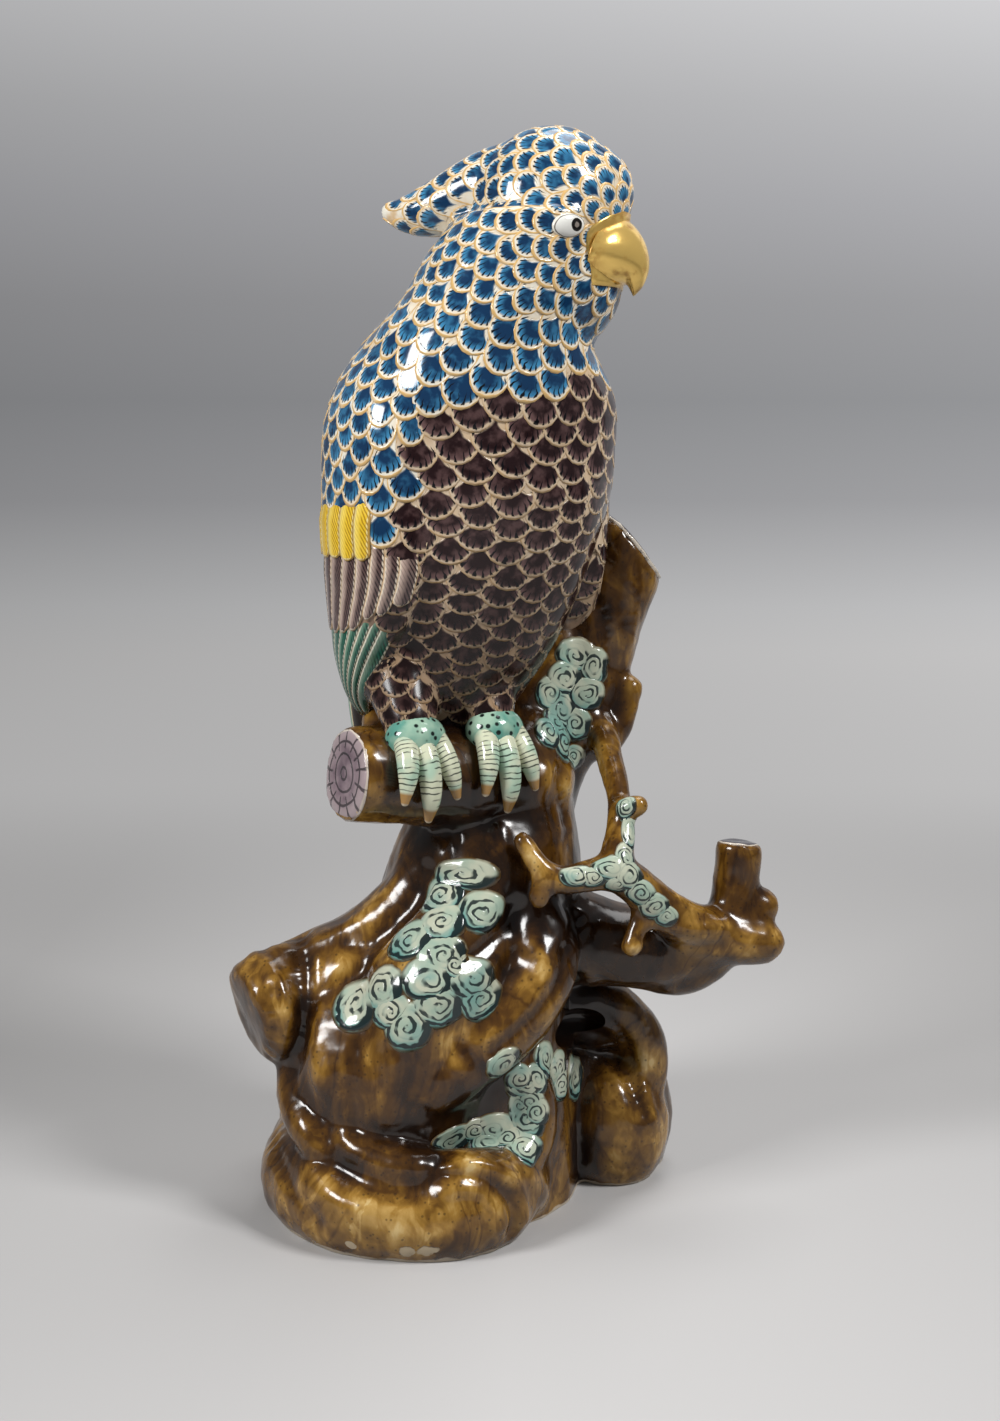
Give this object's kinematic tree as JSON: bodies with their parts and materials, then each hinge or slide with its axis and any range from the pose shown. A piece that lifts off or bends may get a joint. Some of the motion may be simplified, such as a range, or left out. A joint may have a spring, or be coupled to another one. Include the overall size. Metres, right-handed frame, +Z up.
{
  "type": "parrot figurine",
  "caption": "Crested parrot looking to its left from a perch on a gnarled tree stump with side branches, one glazed porcelain casting, hollow under the foot.",
  "frame": {"origin": "centre of the bounding box's bottom face, on the surface the figure stands on", "axes": "+Z up along the height, -Y towards the show side, +X to the right seen from it"},
  "size_m": [0.1786, 0.1196, 0.3374],
  "materials": {
    "glazed_porcelain": "gloss glaze"
  },
  "bodies": {
    "root": {"parrot_figurine": "glazed_porcelain"}
  },
  "joints": []
}
